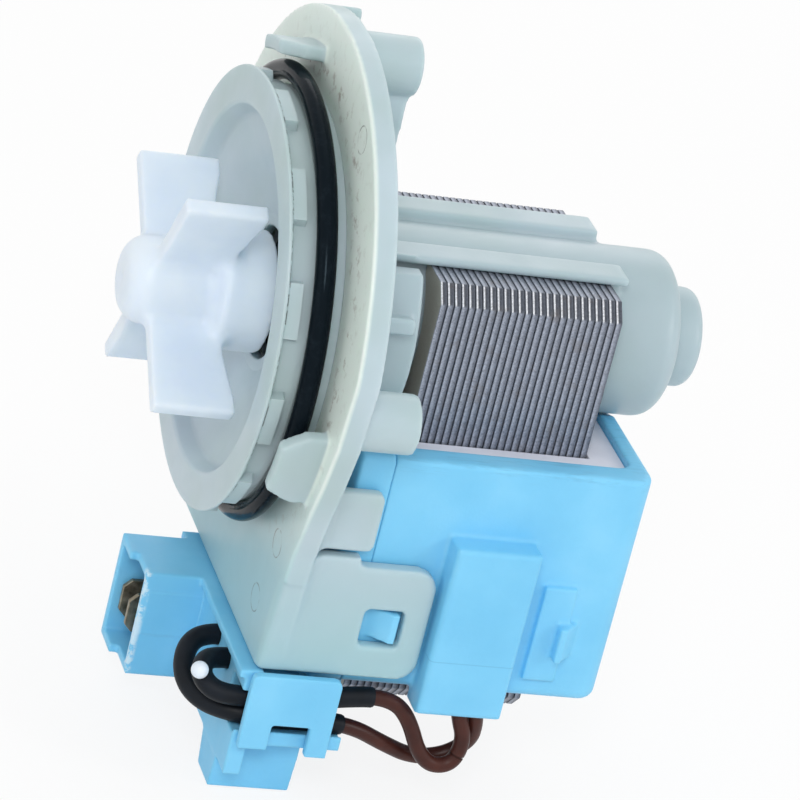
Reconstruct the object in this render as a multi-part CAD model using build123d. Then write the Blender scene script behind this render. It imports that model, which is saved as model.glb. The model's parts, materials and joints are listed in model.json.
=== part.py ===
from build123d import *
import os
from math import cos, radians, sin, sqrt, tan

# Synchronous drain pump: flange with rotor can, impeller on the wet side, U-core and two coils below.
# +X runs along the shaft from the impeller to the motor's tail, +Z is up, millimetres.
# The origin is on the shaft axis, in the plane of the flange's front face, which seats on the sump.
# Angles round the shaft are counted from -Y towards +Z.

# Flange and spigot
flange_r = 42.5
flange_t = 3.5
spigot_wall = 1.8
spigot_len = 4.0
top_rim_depth = 3.6
top_rim_wall = 2.0
top_rim_angles = (110, 150)

# Front dish, pressed over the spigot
dish_body_r = 30.8
dish_front = 9.1
dish_lip_out = 1.7
dish_lip_t = 0.6
dish_wall = 1.8
dish_rim_w = 3.8
dish_rim_h = 2.5
dish_rim_slope = 1.4
dish_floor = 2.6
dish_floor_t = 1.9
dish_hub_flat = 1.8
pad_count = 12
pad_out = 1.5
pad_root = 0.5
pad_len = 2.6
pad_angle = 15.0
pad_first = 20.2

# Seal ring in its groove between the flange and the dish
o_ring_groove_step = 0.4
o_ring_groove_w = 4.6
o_ring_cord_r = 1.5
o_ring_x = -3.05
o_ring_skew = 0.9

# Bayonet lugs
lug_angles = (-17.5, 107.0, 227.0)
lug_reach = 6.6
lug_gap = 1.7
lug_t = 2.1
lug_tip_w = 8.0
lug_root_w = 12.6
lug_taper = 3.6

# Rear bosses: angle, distance from the axis and height behind the flange's front face
boss_r = 4.35
boss_places = ((-3.5, 35.0, 12.0), (102.0, 35.5, 14.5), (202.0, 35.5, 12.0))
boss_bore_r = 1.6
boss_bore_depth = 7.0

# Web of each boss: below the boss at its outer end, left at its inner end, and length
boss_web_t = 1.8
boss_webs = ((2.2, 0.0, 14.5), (0.5, 9.5, 17.0), (2.2, 0.0, 14.5))

# Collar and ribs behind the flange
collar_r = 19.3
collar_wall = 2.0
collar_end = 15.5
collar_rib_angles = (17.0, 163.0)
collar_rib_t = 2.4
collar_rib_out = 3.6
collar_rib_end = 13.7

# Rotor can and its tail
can_r = 12.5
can_wall = 1.3
can_end = 58.8
can_round = 3.0
can_front = 0.5
tail_r = 7.5
tail_wall = 1.3
tail_end = 63.9
tail_round = 1.6

# Core: legs each side of the can, yoke below the coils
core_start = 17.8
core_len = 28.0
sheet_count = 26
sheet_t = 1.0
leg_out = 18.1
leg_in = 7.6
leg_top = 11.6
leg_tip_in = 8.5
leg_chamfer = 2.4
pole_gap = 0.4
yoke_top = -46.1
yoke_h = 10.0

# Rails of the can that hold the legs' tops
rail_end = 48.0
rail_root_in = 5.5
rail_out = 11.2
rail_foot = 9.0
rail_top = 13.1
rail_gap = 0.2
rail_round = 1.0

# Coil cover
cover_start = 8.8
cover_split = 14.0
cover_past_core = 8.1
cover_top = -11.5
cover_bottom = -48.6
cover_wall = 4.3
cover_end_wall = 2.6
cover_floor_t = 1.6
cover_round = 3.0
cover_edge_round = 0.8
cover_gap = 0.3

# Insulation card
card_t = 0.9
card_sink = 1.2
card_round = 2.5
card_gap = 0.1
core_clear = 0.3

# Bobbins and windings
bobbin_wall = 1.0
bobbin_flange_t = 1.2
winding_t = 3.8
coil_gap = 0.6

# Protector block on the cover's near face
block_start = 24.9
block_len = 13.1
block_out = 4.5
block_top = -22.9
block_bottom = -50.4
block_wall = 1.4
block_round = 0.7
cutout_gap = 0.3
cutout_bottom = -45.0

# Snap hooks on the cover, and the plate beside the block
hook_start = 15.4
hook_len = 4.2
hook_ramp = 3.15
hook_out = 2.4
hook_low = -40.2
hook_high = -35.5
side_plate_start = 41.0
side_plate_len = 5.0
side_plate_t = 1.0
side_plate_low = -45.0
side_plate_high = -29.5
rib_start = 44.2
rib_crest = 1.1
rib_ramp = 3.0
rib_out = 3.0
rib_low = -40.8
rib_high = -35.2

# Apron below the flange, with a latch plate at each side
apron_t = 2.0
apron_side_t = 2.3
apron_bottom = -46.1
apron_gap = 0.2
apron_corner_round = 1.2
tab_end = 13.0
tab_top = -16.4
tab_bottom = -25.8
tab_round = 1.2
slot_start = 3.4
slot_h = 1.0
latch_end = 24.0
latch_top = -28.2
latch_round = 3.2
window_start = 14.2
window_end = 20.3
window_low = -40.9
window_high = -35.0

# Terminal housing under the apron
carrier_front = -1.2
carrier_back = 1.4
carrier_far = 12.5
carrier_gap = 0.3
carrier_bottom = -63.8
strip_out = 0.9
strip_h = 1.3
socket_far = 10.2
socket_near = -2.3
socket_depth = 9.4
socket_step = 1.3
socket_h = 17.3
socket_wall = 1.4
keeper_end = 15.4
keeper_w = 6.3
keeper_wall = 1.5
keeper_bottom = -58.6
keeper_floor_t = 1.7
keeper_lip_h = 0.7
keeper_lip_t = 0.5
keeper_gap = 0.3
post_start = -1.1
post_end = 11.4
post_far = -15.4
post_near = -24.5
post_bottom = -69.3
post_draft = 1.6

# Spade terminals
blade_w = 6.3
blade_t = 0.8
blade_ys = (3.0, 7.5)
blade_z = -56.0
blade_reach = 9.6
blade_tip = 1.2
blade_tail = 4.0
blade_eye = 3.4
blade_eye_r = 0.8

# Wire clip
clip_out = 0.4
clip_t = 1.4
clip_lip_t = 0.9
clip_start = -0.6
clip_end = 13.0
clip_top = -46.2
clip_left_low = -58.3
clip_right_low = -59.0
clip_notch = (3.9, 9.7)
clip_notch_top = -54.2
clip_round = 1.0

# Impeller
hub_r = 6.5
hub_nose = -24.0
hub_nose_round = 3.6
skirt_r = 9.0
skirt_front = -10.9
skirt_back = -3.0
skirt_round = 1.0
vane_count = 4
vane_tip_r = 21.4
vane_t = 2.5
vane_heel = 2.6
vane_heel_out = 2.2
vane_heel_rise = 1.2
vane_front = -20.5
vane_back = -8.3
vane_lean = 34.5
skirt_clear = 0.7

# Shaft, drive dog and its free play inside the skirt
shaft_r = 2.0
running_gap = 0.06
shaft_front = -19.0
shaft_back = 62.0
chamber_r = 6.6
chamber_front = -9.9
chamber_cap_t = 0.9
dog_hub_r = 3.2
dog_middle = 270.0
dog_angle = 20.0
stop_middle = 90.0
stop_angle = 25.0
bumper_angle = 8.0
dog_gap = 0.4

# Rotor and bearings
magnet_start = 16.0
magnet_end = 48.0
magnet_gap = 0.8
carrier_r = 5.0
carrier_flange_r = 8.0
carrier_flange_t = 1.8
bearing_front = 1.2
bearing_len = 6.0
bearing_r = 5.0
rear_bearing_start = 57.9
rear_bearing_len = 4.2
rear_bearing_r = 4.4
washer_t = 0.6
washer_r = 4.4
washer_gap = 0.3

# Leads: the wire, its sleeve and the points of the two routes
wire_r = 1.2
sleeve_r = 1.55
sleeve_gap = 0.1
lower_route = [
    (1.0, -12.3, -50.1), (-3.6, -12.5, -49.9), (-7.4, -14.3, -51.3), (-8.3, -18.3, -54.2),
    (-6.2, -22.6, -55.8), (-1.6, -26.6, -55.2), (5.6, -27.4, -55.1), (11.6, -27.3, -55.0),
    (17.6, -26.9, -55.7), (23.0, -26.4, -58.4), (28.2, -25.4, -60.8), (33.2, -25.0, -60.4),
    (36.4, -26.0, -57.0), (35.9, -27.6, -53.2), (34.9, -28.2, -50.2), (34.8, -28.2, -46.6)]
upper_route = [
    (1.0, -19.0, -50.3), (-3.6, -19.3, -50.1), (-6.7, -21.0, -50.0), (-7.5, -24.6, -50.9),
    (-4.6, -27.2, -52.0), (3.4, -27.8, -51.5), (8.6, -27.9, -51.5), (14.0, -27.9, -50.4),
    (20.6, -28.2, -49.6), (24.6, -28.6, -51.6), (28.6, -28.9, -59.8), (33.3, -28.9, -60.0),
    (34.4, -28.7, -55.4), (32.6, -28.5, -51.6), (31.3, -28.0, -46.6)]
lower_sleeve_run = 7
lower_sleeve_part = 0.52
upper_sleeve_run = 7
upper_sleeve_part = 0.72
lead_bore_len = 12.0
bead_r = 1.3
bead_place = (-7.25, -26.4, -48.6)

# How far a cutter passes what it cuts, and how far a form reaches into the one it grows from
over = 1.0
bond = 0.5

# Sizes that follow from those above
can_bore_r = can_r - can_wall
o_ring_groove_r = dish_body_r - o_ring_groove_step
dish_lip_r = dish_body_r + dish_lip_out
dish_mouth_r = dish_body_r - dish_rim_w
pad_r = dish_body_r + pad_out
coil_out = bobbin_wall + winding_t
cavity_half_w = leg_out + core_clear + coil_out - coil_gap + card_gap
cover_half_w = cavity_half_w + cover_wall
apron_half_w = cover_half_w + apron_gap + apron_side_t
clip_y = -apron_half_w - clip_out
keeper_y = clip_y + keeper_w
pole_r = can_r + pole_gap
core_end = core_start + core_len
sheet_pitch = core_len / sheet_count
spigot_r = o_ring_groove_r - dish_wall
lug_r = o_ring_groove_r + 2 * o_ring_cord_r + lug_gap
card_top = cover_top - card_sink
cavity_start = core_start - core_clear - coil_out - coil_gap
cover_end = core_end + cover_past_core
cavity_end = cover_end - cover_end_wall
block_y = -cover_half_w - block_out
carrier_top = apron_bottom - carrier_gap
keeper_top = cover_bottom - keeper_gap
yoke_bottom = yoke_top - yoke_h
keeper_floor = keeper_bottom + keeper_floor_t


def around(angle, radius, x=0.0):
    """Point at a radius and an angle round the shaft."""
    return Vector(x, -radius * cos(radians(angle)), radius * sin(radians(angle)))


def disc(x_from, x_to, radius):
    """Round bar on the shaft axis."""
    return Pos(x_from, 0, 0) * Rot(0, 90, 0) * Cylinder(
        radius, x_to - x_from, align=(Align.CENTER, Align.CENTER, Align.MIN))


def tube(x_from, x_to, r_in, r_out):
    """Round tube on the shaft axis."""
    return disc(x_from, x_to, r_out) - disc(x_from - over, x_to + over, r_in)


def slab(x_from, x_to, y_from, y_to, z_from, z_to):
    """Box between two corners."""
    middle = Pos((x_from + x_to) / 2, (y_from + y_to) / 2, (z_from + z_to) / 2)
    return middle * Box(x_to - x_from, y_to - y_from, z_to - z_from)


def sector(x_from, x_to, r_in, r_out, angle, half_angle):
    """Piece of a tube, half_angle to each side of angle."""
    reach = r_out * 1.6
    edge_a = around(angle - half_angle, reach)
    edge_b = around(angle + half_angle, reach)
    middle = around(angle, reach)
    wedge = Plane.YZ * make_face(Polyline((0, 0), (edge_a.Y, edge_a.Z), (middle.Y, middle.Z),
                                          (edge_b.Y, edge_b.Z), close=True))
    wedge = Pos(x_from, 0, 0) * extrude(wedge, x_to - x_from)
    return tube(x_from, x_to, r_in, r_out) & wedge


def turned(points):
    """Solid turned about the shaft from (x, radius) points."""
    return revolve(Plane.XZ * make_face(Polyline(*points, close=True)), Axis.X)


def rail():
    """One rail of the can, on the +Y side, hooked over the leg's top."""
    shelf_low = leg_top + rail_gap
    root_out = leg_tip_in - rail_gap
    outline = Plane.YZ * make_face(Polyline(
        (rail_root_in, rail_foot), (root_out, rail_foot), (root_out, shelf_low),
        (rail_out, shelf_low), (rail_out, rail_top), (rail_root_in, rail_top), close=True))
    bar = Pos(flange_t, 0, 0) * extrude(outline, rail_end - flange_t)
    tops = bar.edges().filter_by(Axis.X).group_by(Axis.Z)[-1]
    bar = fillet(tops, min(rail_round, 0.45 * (rail_top - shelf_low)))
    return bar - disc(flange_t - over, rail_end + over, can_r - can_wall / 2)


def lug(angle):
    """Bayonet lug that reaches forward over the seal ring, narrower at its tip."""
    shell = tube(-lug_reach, 0, lug_r, lug_r + lug_t)
    face = Plane(origin=around(angle, lug_r - over * 3), x_dir=(1, 0, 0), z_dir=around(angle, 1))
    blank = extrude(face * make_face(Polyline(
        (0, -lug_root_w / 2), (-lug_reach + lug_taper, -lug_root_w / 2), (-lug_reach, -lug_tip_w / 2),
        (-lug_reach, lug_tip_w / 2), (-lug_reach + lug_taper, lug_root_w / 2), (0, lug_root_w / 2),
        close=True)), lug_t + over * 6)
    return shell & blank


def boss(angle, distance, height, web_drop, web_left, web_len):
    """Rear boss with a web towards the collar."""
    centre = around(angle, distance)
    post = Pos(0, centre.Y, centre.Z) * disc(flange_t - bond, height, boss_r)
    web = Plane.XY * make_face(Polyline(
        (flange_t - bond, distance), (height - web_drop, distance),
        (height - web_drop, distance - boss_r), (flange_t + web_left, distance - web_len),
        (flange_t - bond, distance - web_len), close=True))
    web = Pos(0, 0, -boss_web_t / 2) * extrude(web, boss_web_t)
    return post + Rot(180 - angle, 0, 0) * web


def side_panel():
    """Side of the apron on the +Y side: upper tab, slot, and latch plate with its window."""
    y_in = apron_half_w - apron_side_t
    panel = slab(0, slot_start, y_in, apron_half_w, apron_bottom, tab_top)
    upper = slab(0, tab_end, y_in, apron_half_w, tab_bottom, tab_top)
    upper = fillet(upper.edges().filter_by(Axis.Y).group_by(Axis.X)[-1], tab_round)
    lower = slab(0, latch_end, y_in, apron_half_w, apron_bottom, latch_top)
    lower = fillet(lower.edges().filter_by(Axis.Y).group_by(Axis.X)[-1], latch_round)
    bridge = slab(0, tab_end - tab_round, y_in, apron_half_w, latch_top - over, tab_bottom + over)
    slot = slab(slot_start, tab_end + over, y_in - over, apron_half_w + over,
                tab_bottom - slot_h, tab_bottom)
    slot = fillet(slot.edges().filter_by(Axis.Y).group_by(Axis.X)[0], 0.49 * slot_h)
    panel = panel + upper + lower + bridge - slot
    window = slab(window_start, window_end, y_in - over, apron_half_w + over, window_low, window_high)
    return panel - window


def pump_flange():
    """Flange, spigot, collar, rotor can with its rails, bosses, lugs and apron in one moulding."""
    body = disc(0, flange_t, flange_r)
    body += tube(-spigot_len, 1, spigot_r - spigot_wall, spigot_r)
    low, high = top_rim_angles
    body += sector(flange_t - bond, flange_t + top_rim_depth, flange_r - top_rim_wall, flange_r,
                   (low + high) / 2, (high - low) / 2)
    body += tube(flange_t - bond, collar_end, collar_r - collar_wall, collar_r)
    for angle in collar_rib_angles:
        rib = slab(flange_t - bond, collar_rib_end, collar_r - over, collar_r + collar_rib_out,
                   -collar_rib_t / 2, collar_rib_t / 2)
        body += Rot(180 - angle, 0, 0) * rib
    reach = collar_r + collar_rib_out
    body -= slab(cover_start - cover_gap, collar_end + over, -reach, reach, -reach, cover_top + cover_gap)
    can = disc(can_front, can_end, can_r)
    can = fillet(can.edges().filter_by(GeomType.CIRCLE).sort_by(Axis.X)[-1], can_round)
    tail = disc(can_end - can_round, tail_end, tail_r)
    tail = fillet(tail.edges().filter_by(GeomType.CIRCLE).sort_by(Axis.X)[-1], tail_round)
    body += can + tail
    body += rail() + mirror(rail(), Plane.XZ)
    for place, web in zip(boss_places, boss_webs):
        body += boss(*place, *web)
    for angle in lug_angles:
        body += lug(angle)
    body += slab(0, apron_t, -apron_half_w, apron_half_w, apron_bottom, -flange_r / 2)
    body += side_panel() + mirror(side_panel(), Plane.XZ)
    corners = body.edges().filter_by(Axis.Z).filter_by(
        lambda e: abs(e.center().X) < 0.01 and abs(abs(e.center().Y) - apron_half_w) < 0.01)
    if corners:
        body = fillet(corners, apron_corner_round)
    body -= disc(-1, can_end - can_wall, can_bore_r)
    body -= disc(can_end - can_wall - over, tail_end - tail_wall, tail_r - tail_wall)
    for angle, distance, height in boss_places:
        centre = around(angle, distance)
        body -= Pos(0, centre.Y, centre.Z) * disc(height - boss_bore_depth, height + over, boss_bore_r)
    return body


def front_dish():
    """Castellated ring with the recessed dish that the impeller turns in."""
    hole_r = skirt_r + skirt_clear
    back_x = -dish_floor + dish_floor_t
    ring = turned([
        (-dish_front, dish_mouth_r), (-dish_front, dish_lip_r), (-dish_front + dish_lip_t, dish_lip_r),
        (-dish_front + dish_lip_t, dish_body_r), (-o_ring_groove_w, dish_body_r),
        (-o_ring_groove_w, o_ring_groove_r), (0, o_ring_groove_r), (0, spigot_r),
        (-o_ring_groove_w, spigot_r), (back_x, hole_r + dish_hub_flat), (back_x, hole_r),
        (-dish_floor, hole_r), (-dish_floor, hole_r + dish_hub_flat),
        (-dish_front + dish_rim_h, dish_mouth_r - dish_rim_slope)])
    pad_from = -dish_front + dish_lip_t / 2
    for step in range(pad_count):
        angle = pad_first + step * 360 / pad_count
        ring += sector(pad_from, pad_from + pad_len, dish_body_r - pad_root, pad_r, angle, pad_angle / 2)
    return ring


def o_ring():
    """Seal ring, a little askew in its groove: further forward at the top and the near side."""
    ring = Rot(0, 90, 0) * Torus(o_ring_groove_r + o_ring_cord_r, o_ring_cord_r)
    return Pos(o_ring_x, 0, 0) * ring.rotate(Axis((0, 0, 0), (0, 1, 1)), -o_ring_skew)


def impeller():
    """Four flat vanes on a round-nosed hub, with a skirt that holds the drive chamber."""
    hub = disc(hub_nose, skirt_front + over, hub_r)
    hub = fillet(hub.edges().filter_by(GeomType.CIRCLE).sort_by(Axis.X)[0], hub_nose_round)
    skirt = disc(skirt_front, skirt_back, skirt_r)
    skirt = fillet(skirt.edges().filter_by(GeomType.CIRCLE).sort_by(Axis.X)[0], skirt_round)
    body = hub + skirt
    outline = Plane.XY * make_face(Polyline(
        (vane_front, 0), (vane_front, vane_tip_r), (vane_back, vane_tip_r),
        (vane_back, vane_tip_r - vane_heel), (skirt_front + vane_heel_rise, skirt_r + vane_heel_out),
        (skirt_front + vane_heel_rise, 0), close=True))
    vane = Pos(0, 0, -vane_t / 2) * extrude(outline, vane_t)
    for step in range(vane_count):
        body += Rot(vane_lean + step * 360 / vane_count, 0, 0) * vane
    body -= disc(chamber_front, skirt_back + over, chamber_r)
    body -= disc(shaft_front - dog_gap, chamber_front + over, shaft_r + running_gap)
    stop = sector(chamber_front - bond, skirt_back - chamber_cap_t, dog_hub_r + dog_gap,
                  chamber_r + bond, stop_middle, stop_angle)
    return body + stop


def hub_cap():
    """Disc that closes the drive chamber behind the dog."""
    return tube(skirt_back - chamber_cap_t, skirt_back, shaft_r + dog_gap, chamber_r)


def stop_bumpers():
    """Soft pads on both faces of the impeller's stop."""
    half = bumper_angle / 2
    x_from = chamber_front
    x_to = skirt_back - chamber_cap_t
    r_in = dog_hub_r + dog_gap
    pads = [sector(x_from, x_to, r_in, chamber_r, stop_middle + side * (stop_angle + half), half)
            for side in (-1, 1)]
    return Compound(children=pads)


def drive_dog():
    """Dog on the shaft's front end: it turns freely in the chamber until it meets the stop."""
    x_from = chamber_front + dog_gap
    x_to = skirt_back - chamber_cap_t - dog_gap
    arm = sector(x_from, x_to, dog_hub_r - bond, chamber_r - dog_gap, dog_middle, dog_angle)
    return tube(x_from, x_to, shaft_r, dog_hub_r) + arm


def rotor_carrier():
    """Moulded core of the rotor, pressed on the shaft, with a flange at each end of the magnet."""
    body = tube(magnet_start, magnet_end, shaft_r, carrier_r)
    body += tube(magnet_start - carrier_flange_t, magnet_start, shaft_r, carrier_flange_r)
    body += tube(magnet_end, magnet_end + carrier_flange_t, shaft_r, carrier_flange_r)
    return body


def leg_sheet(side):
    """One sheet of a leg: straight outside with a chamfered top corner, hollowed round the can."""
    outline = make_face(Polyline(
        (side * leg_out, yoke_top), (side * leg_out, leg_top - leg_chamfer),
        (side * (leg_out - leg_chamfer), leg_top), (side * leg_tip_in, leg_top),
        (side * leg_tip_in, 0), (side * leg_in, -leg_tip_in), (side * leg_in, yoke_top), close=True))
    outline = Plane.YZ * (outline - Circle(pole_r))
    sheet = extrude(outline, sheet_t)
    return Compound(children=[Pos(core_start + n * sheet_pitch, 0, 0) * sheet
                              for n in range(sheet_count)])


def yoke_sheets():
    """Sheets of the yoke that close the core under the coils."""
    outline = Plane.YZ * make_face(Polyline(
        (-leg_out, yoke_top), (leg_out, yoke_top), (leg_out, yoke_bottom + leg_chamfer),
        (leg_out - leg_chamfer, yoke_bottom), (-leg_out + leg_chamfer, yoke_bottom),
        (-leg_out, yoke_bottom + leg_chamfer), close=True))
    sheet = extrude(outline, sheet_t)
    return Compound(children=[Pos(core_start + n * sheet_pitch, 0, 0) * sheet
                              for n in range(sheet_count)])


def coil(side):
    """Bobbin and winding round one leg."""
    top = card_top - card_t
    low = yoke_top + core_clear
    x_a, x_b = core_start - core_clear, core_end + core_clear
    y_a, y_b = leg_in - core_clear, leg_out + core_clear
    hole = slab(x_a, x_b, y_a, y_b, low - over, top + over)
    barrel = slab(x_a - bobbin_wall, x_b + bobbin_wall, y_a - bobbin_wall, y_b + bobbin_wall, low, top)
    out = coil_out
    y_low = max(y_a - out, coil_gap / 2)
    wide = slab(x_a - out, x_b + out, y_low, y_b + out - coil_gap, low, top)
    wide = fillet(wide.edges().filter_by(Axis.Z), card_round)
    flanges = wide - slab(x_a - out - over, x_b + out + over, y_low - over, y_b + out + over,
                          low + bobbin_flange_t, top - bobbin_flange_t)
    bobbin = barrel + flanges - hole
    winding = slab(x_a - out, x_b + out, y_low, y_b + out - coil_gap,
                   low + bobbin_flange_t, top - bobbin_flange_t)
    uprights = winding.edges().filter_by(Axis.Z)
    winding = fillet(uprights, winding_t * 0.8)
    winding = winding - barrel
    if side < 0:
        return mirror(bobbin, Plane.XZ), mirror(winding, Plane.XZ)
    return bobbin, winding


def insulation_card():
    """White card on the coils with a window for each leg."""
    sheet = slab(cavity_start + card_gap, cavity_end - card_gap, -cavity_half_w + card_gap,
                 cavity_half_w - card_gap, card_top - card_t, card_top)
    sheet = fillet(sheet.edges().filter_by(Axis.Z), card_round)
    for side in (-1, 1):
        y_pair = sorted((side * (leg_in - core_clear), side * (leg_out + core_clear)))
        sheet -= slab(core_start - core_clear, core_end + core_clear, y_pair[0], y_pair[1],
                      card_top - card_t - over, card_top + over)
    return sheet


def cavity():
    """Space for the coils: open at the top, with an opening for the yoke in the floor."""
    room = slab(cavity_start, cavity_end, -cavity_half_w, cavity_half_w,
                cover_bottom + cover_floor_t, cover_top + over)
    rear = room.edges().filter_by(Axis.Z).group_by(Axis.X)[-1]
    room = fillet(rear, card_round)
    floor = slab(core_start - core_clear, core_end + core_clear, -leg_out - core_clear,
                 leg_out + core_clear, cover_bottom - over, cover_bottom + cover_floor_t + over)
    return room + floor


def saddle():
    """Room for the rotor can in the cover's top edge."""
    return disc(cover_start - over, cover_end + over, can_r + cover_gap)


def protector_room():
    """Pocket in the block, open below, where the leads reach the thermal cut-out."""
    return slab(block_start + block_wall, block_start + block_len - block_wall,
                block_y + block_wall, -cavity_half_w - block_wall, block_bottom - over,
                block_top - block_wall)


def hook(side):
    """Snap hook that catches the apron's window."""
    face = cover_half_w
    outline = Plane.XY * make_face(Polyline(
        (hook_start, face - bond), (hook_start, face), (hook_start + hook_ramp, face + hook_out),
        (hook_start + hook_len, face + hook_out), (hook_start + hook_len, face - bond), close=True))
    wedge = Pos(0, 0, hook_low) * extrude(outline, hook_high - hook_low)
    return wedge if side > 0 else mirror(wedge, Plane.XZ)


def coil_cover():
    """Blue cover of the coils with the protector block, snap hooks and side plate."""
    body = slab(cover_split, cover_end, -cover_half_w, cover_half_w, cover_bottom, cover_top)
    rear = body.edges().filter_by(Axis.Z).group_by(Axis.X)[-1]
    body = fillet(rear, cover_round)
    low = body.faces().sort_by(Axis.Z)[0].edges().filter_by(lambda e: e.center().X > cover_split + 0.1)
    body = fillet(low, cover_edge_round * 2)
    high = body.faces().sort_by(Axis.Z)[-1].edges().filter_by(lambda e: e.center().X > cover_split + 0.1)
    body = fillet(high, cover_edge_round)
    block = slab(block_start, block_start + block_len, block_y, -cover_half_w + over, block_bottom, block_top)
    front = block.faces().sort_by(Axis.Y)[0].edges()
    block = fillet(front, block_round)
    body += block
    plate = slab(side_plate_start, side_plate_start + side_plate_len, cover_half_w - bond,
                 cover_half_w + side_plate_t, side_plate_low, side_plate_high)
    barb = Plane.XY * make_face(Polyline(
        (rib_start, cover_half_w - bond), (rib_start, cover_half_w + rib_out),
        (rib_start + rib_crest, cover_half_w + rib_out),
        (rib_start + rib_crest + rib_ramp, cover_half_w - bond), close=True))
    barb = Pos(0, 0, rib_low) * extrude(barb, rib_high - rib_low)
    body += mirror(plate + barb, Plane.XZ) + plate + barb
    body += hook(-1) + hook(1)
    return body - cavity() - protector_room() - saddle()


def cover_front():
    """Front part of the cover, in front of the parting line."""
    body = slab(cover_start, cover_split, -cover_half_w, cover_half_w, cover_bottom, cover_top)
    low = body.faces().sort_by(Axis.Z)[0].edges().filter_by(Axis.X)
    body = fillet(low, cover_edge_round * 2)
    high = body.faces().sort_by(Axis.Z)[-1].edges().filter_by(Axis.X)
    body = fillet(high, cover_edge_round)
    return body - cavity() - saddle()


def thermal_cutout():
    """Sealed thermal cut-out in the block's pocket."""
    return slab(block_start + block_wall + cutout_gap, block_start + block_len - block_wall - cutout_gap,
                block_y + block_wall + cutout_gap, -cavity_half_w - block_wall - cutout_gap,
                cutout_bottom, block_top - block_wall - cutout_gap)


def terminal_housing():
    """Carrier wall under the apron with the socket, the lead keeper and the post."""
    body = slab(carrier_front, carrier_back, -apron_half_w, carrier_far, carrier_bottom, carrier_top)
    body += slab(carrier_front - strip_out, carrier_back, -apron_half_w, carrier_far,
                 carrier_top - strip_h, carrier_top)
    outer = slab(carrier_front - socket_depth, carrier_front + bond, socket_near, socket_far,
                 carrier_top - socket_h, carrier_top)
    middle = (socket_near + socket_far) / 2
    outer += slab(carrier_front - socket_depth - socket_step, carrier_front, middle, socket_far,
                  carrier_top - socket_h, carrier_top)
    mouth = slab(carrier_front - socket_depth - socket_step - over, carrier_front, socket_near + socket_wall,
                 socket_far - socket_wall, carrier_top - socket_h + socket_wall, carrier_top - socket_wall)
    body += outer
    body -= mouth
    body -= slab(carrier_front - over, carrier_back + over, -apron_half_w - over, keeper_y,
                 keeper_floor, keeper_top - clip_lip_t)
    body += slab(carrier_front, keeper_end, keeper_y, keeper_y + keeper_wall, keeper_bottom, keeper_top)
    body += slab(carrier_front, keeper_end, clip_y + keeper_gap, keeper_y + bond, keeper_bottom, keeper_floor)
    body += slab(carrier_front, keeper_end, clip_y + keeper_gap, clip_y + keeper_gap + keeper_lip_t,
                 keeper_bottom, keeper_floor + keeper_lip_h)
    body += slab(carrier_back - bond, keeper_end, keeper_y, post_far, keeper_top - keeper_wall, keeper_top)
    body += slab(carrier_back - bond, post_end, post_near, post_far, carrier_bottom, keeper_floor)
    foot = Plane.YZ * make_face(Polyline(
        (post_far, carrier_bottom + bond), (post_near, carrier_bottom + bond),
        (post_near + post_draft / 2, post_bottom), (post_far - post_draft, post_bottom), close=True))
    body += Pos(post_start, 0, 0) * extrude(foot, post_end - post_start)
    for route in (lower_route, upper_route):
        start = route[0]
        along = Vector(*start) - Vector(*route[1])
        bore = Plane(origin=start, z_dir=along)
        body -= bore * Cylinder(sleeve_r + sleeve_gap, lead_bore_len)
    for y in blade_ys:
        body -= slab(carrier_front - over, carrier_back + over, y - blade_t / 2, y + blade_t / 2,
                     blade_z - blade_w / 2, blade_z + blade_w / 2)
    return body


def spade_terminals():
    """Two blades in the socket, held in slots of the carrier wall."""
    tip = carrier_front - blade_reach
    end = carrier_back + blade_tail
    low = blade_z - blade_w / 2
    high = blade_z + blade_w / 2
    outline = make_face(Polyline(
        (tip, low + blade_tip), (tip + blade_tip, low), (end, low), (end, high),
        (tip + blade_tip, high), (tip, high - blade_tip), close=True))
    eye = Pos(tip + blade_eye, blade_z) * Circle(blade_eye_r)
    blade = extrude(Plane.XZ * (outline - eye), blade_t / 2, both=True)
    return Compound(children=[Pos(0, y, 0) * blade for y in blade_ys])


def wire_clip():
    """Clip over the leads: a notched face plate with a return at its top."""
    low = min(clip_left_low, clip_right_low)
    plate = slab(clip_start, clip_end, clip_y - clip_t, clip_y, low, clip_top)
    plate = fillet(plate.edges().filter_by(Axis.Y).group_by(Axis.Z)[-1], clip_round)
    notch_start, notch_end = clip_notch
    y_out = clip_y - clip_t - over
    plate -= slab(clip_start - over, notch_start, y_out, clip_y + over, low - over, clip_left_low)
    plate -= slab(notch_start, notch_end, y_out, clip_y + over, low - over, clip_notch_top)
    lip = slab(carrier_back + keeper_gap, cover_start - cover_gap, clip_y - bond, keeper_y,
               keeper_top - clip_lip_t, keeper_top)
    return plate + lip


def route_radii(points):
    """Largest arc at each corner that its two runs leave room for."""
    radii = []
    for n in range(1, len(points) - 1):
        run_in = Vector(*points[n]) - Vector(*points[n - 1])
        run_out = Vector(*points[n + 1]) - Vector(*points[n])
        half_turn = radians(run_in.get_angle(run_out)) / 2
        radii.append(0.45 * min(run_in.length, run_out.length) / tan(half_turn))
    return radii


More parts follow.
